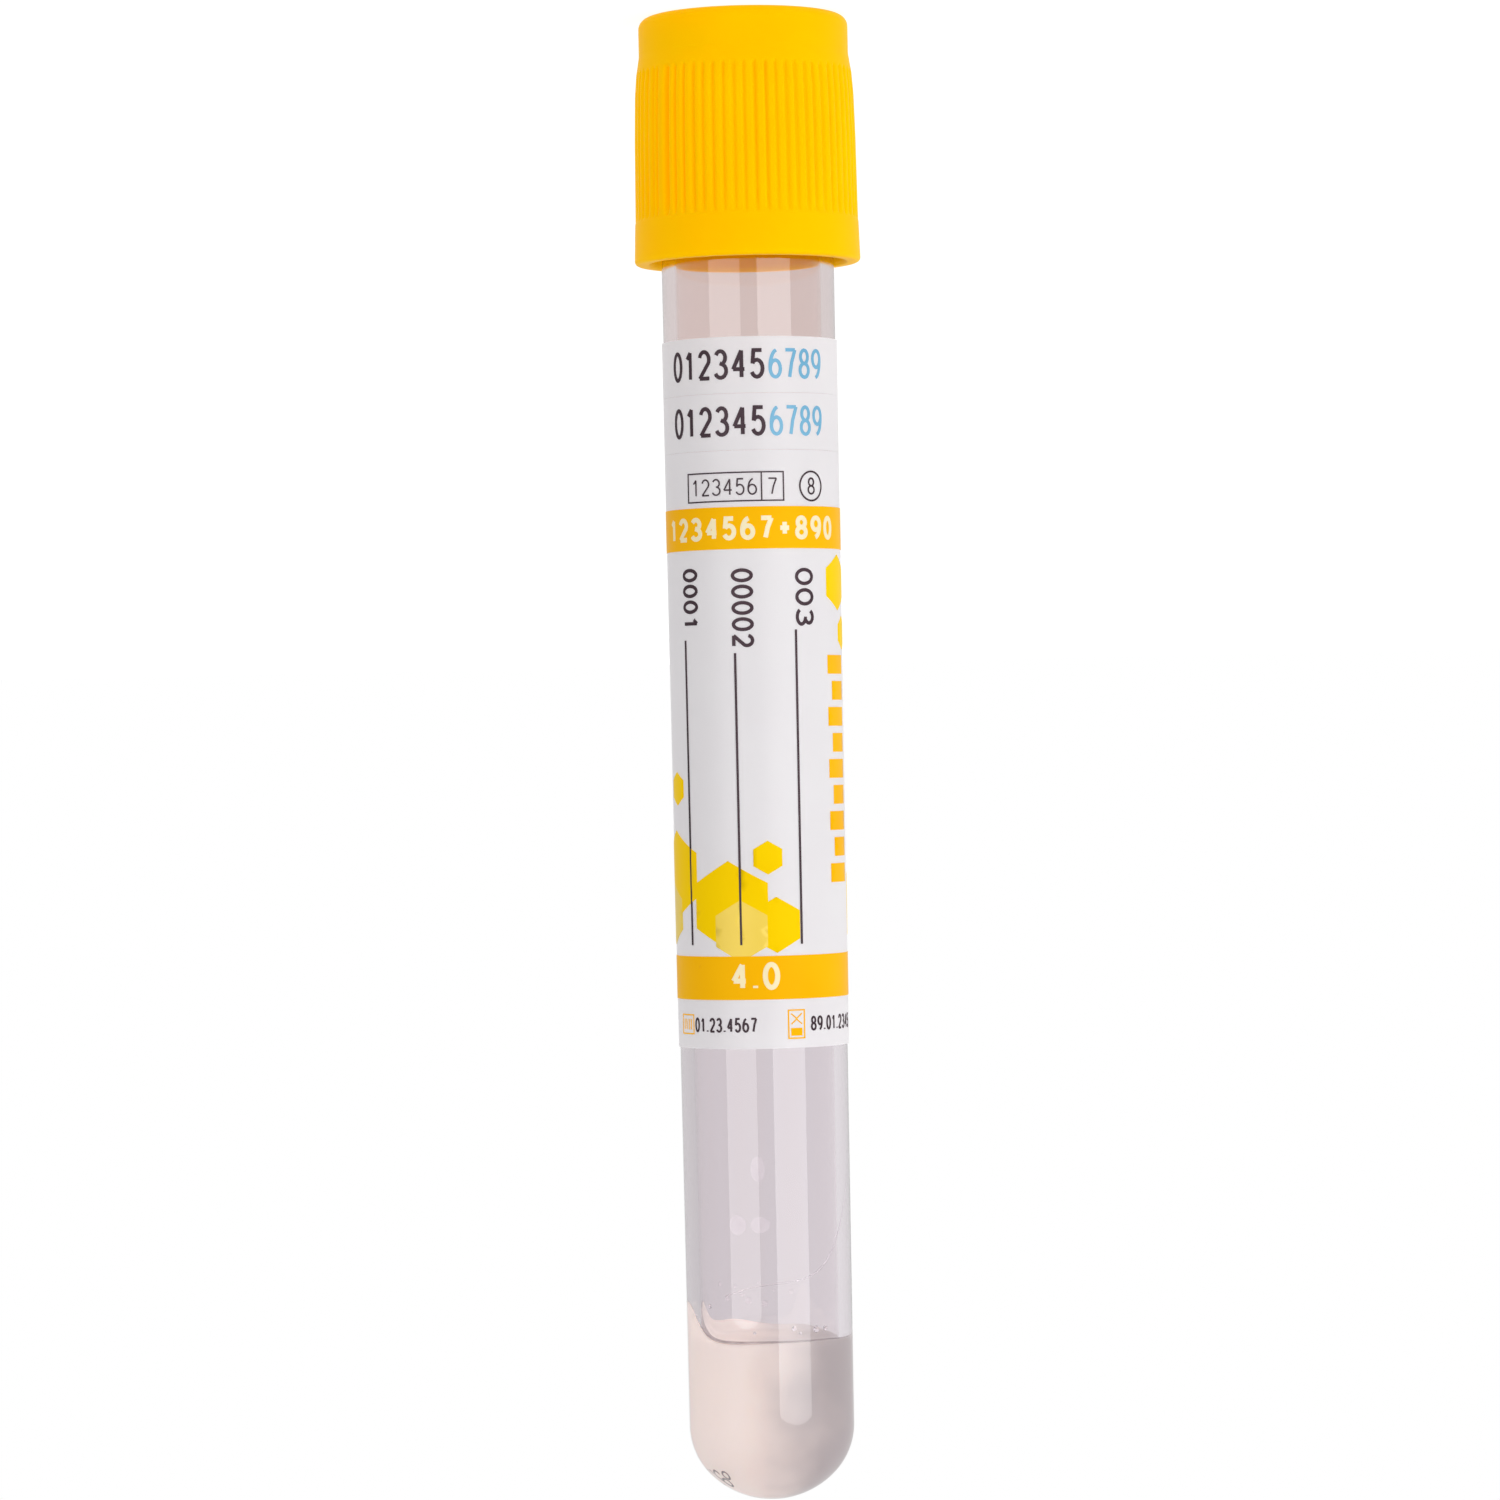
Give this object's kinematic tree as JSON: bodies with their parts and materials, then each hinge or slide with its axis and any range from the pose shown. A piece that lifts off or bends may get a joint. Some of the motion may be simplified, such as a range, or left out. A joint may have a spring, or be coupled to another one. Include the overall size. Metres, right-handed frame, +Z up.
{
  "type": "blood collection tube",
  "caption": "Clear round-bottom blood collection tube with separator gel, a wrap-round film label with peel-off strips, and a ribbed pull-off safety cap that holds a rubber stopper.",
  "frame": {"origin": "under the middle of the cap, on the surface that its flat top stands on", "axes": "+Z up from the cap to the round end, -Y out of the label's front, -X to the right of the label as it is read"},
  "size_m": [0.0164, 0.0162, 0.107],
  "materials": {
    "clear_plastic": "clear, polished",
    "gel": "translucent, wet gloss",
    "label_film": "semi-gloss printed film",
    "amber_ink": "semi-gloss ink",
    "yellow_ink": "semi-gloss ink",
    "pale_ink": "semi-gloss ink",
    "dark_ink": "matt ink",
    "cap_plastic": "satin gloss moulded polyethylene",
    "stopper_rubber": "matt butyl rubber"
  },
  "bodies": {
    "closure": {"cap": "cap_plastic", "stopper": "stopper_rubber"},
    "barrel": {"tube": "clear_plastic", "gel": "gel", "main_label": "label_film", "peel_strip_lower": "label_film", "peel_strip_upper": "label_film", "print_bands": "amber_ink", "print_hexagons": "yellow_ink", "print_hexagons_pale": "pale_ink", "print_lines": "dark_ink"}
  },
  "joints": [
    {"name": "cap_pull", "type": "slide", "parent": "closure", "child": "barrel", "axis": [0, 0, 1], "range_m": [0, 0.016]}
  ]
}
